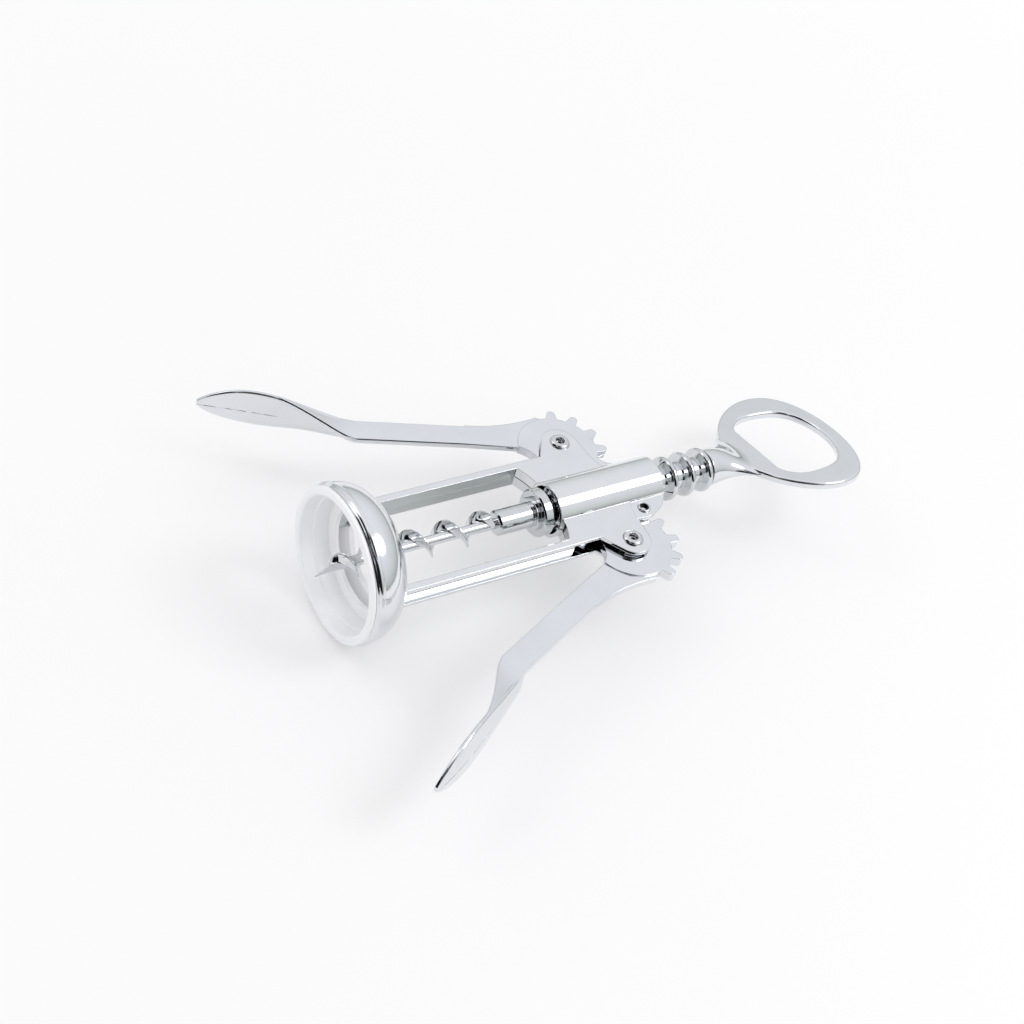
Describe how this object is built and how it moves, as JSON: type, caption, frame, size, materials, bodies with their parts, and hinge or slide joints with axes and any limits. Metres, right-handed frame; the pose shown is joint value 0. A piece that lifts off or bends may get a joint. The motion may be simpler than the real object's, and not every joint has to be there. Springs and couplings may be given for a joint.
{
  "type": "wing corkscrew",
  "caption": "Chrome wing corkscrew with two geared levers, a ringed rack with a solid worm, a cap lifter loop and a white bell insert.",
  "frame": {"origin": "centre of the bell's mouth, on the axis", "axes": "+X along the axis from the mouth to the cap lifter, +Y towards the far lever, +Z normal to the plane the levers swing in"},
  "size_m": [0.1627, 0.1256, 0.0392],
  "materials": {
    "chromed_steel": "polished",
    "chromed_casting": "polished",
    "plated_steel": "satin",
    "white_plastic": "gloss"
  },
  "bodies": {
    "frame": {"front_frame": "chromed_steel", "back_frame": "chromed_steel", "pivot_rivets": "plated_steel", "frame_eyelets": "plated_steel", "bell_ring": "chromed_steel", "bell_insert": "white_plastic"},
    "near_lever_body": {"near_lever": "chromed_casting"},
    "far_lever_body": {"far_lever": "chromed_casting"},
    "collar": {"guide_collar": "plated_steel"},
    "spindle": {"rack": "plated_steel", "worm_sleeve": "plated_steel", "worm": "plated_steel", "opener": "chromed_casting"}
  },
  "joints": [
    {"name": "near_lever_swing", "type": "hinge", "parent": "frame", "child": "near_lever_body", "pos_m": [0.0742, -0.01758, 0], "axis": [0, 0, 1], "range_deg": [-21, 108]},
    {"name": "far_lever_swing", "type": "hinge", "parent": "frame", "child": "far_lever_body", "pos_m": [0.0742, 0.01758, 0], "axis": [0, 0, 1], "range_deg": [-108, 21]},
    {"name": "rack_slide", "type": "slide", "parent": "frame", "child": "collar", "axis": [1, 0, 0], "range_m": [-0.0214, 0.0042]},
    {"name": "worm_turn", "type": "hinge", "parent": "collar", "child": "spindle", "pos_m": [0.0572, 0, 0], "axis": [1, 0, 0], "continuous": true}
  ],
  "couplings": [
    {"joint": "far_lever_swing", "follows": "near_lever_swing", "ratio": -1},
    {"joint": "rack_slide", "follows": "near_lever_swing", "m_per_rad": -0.0113}
  ]
}
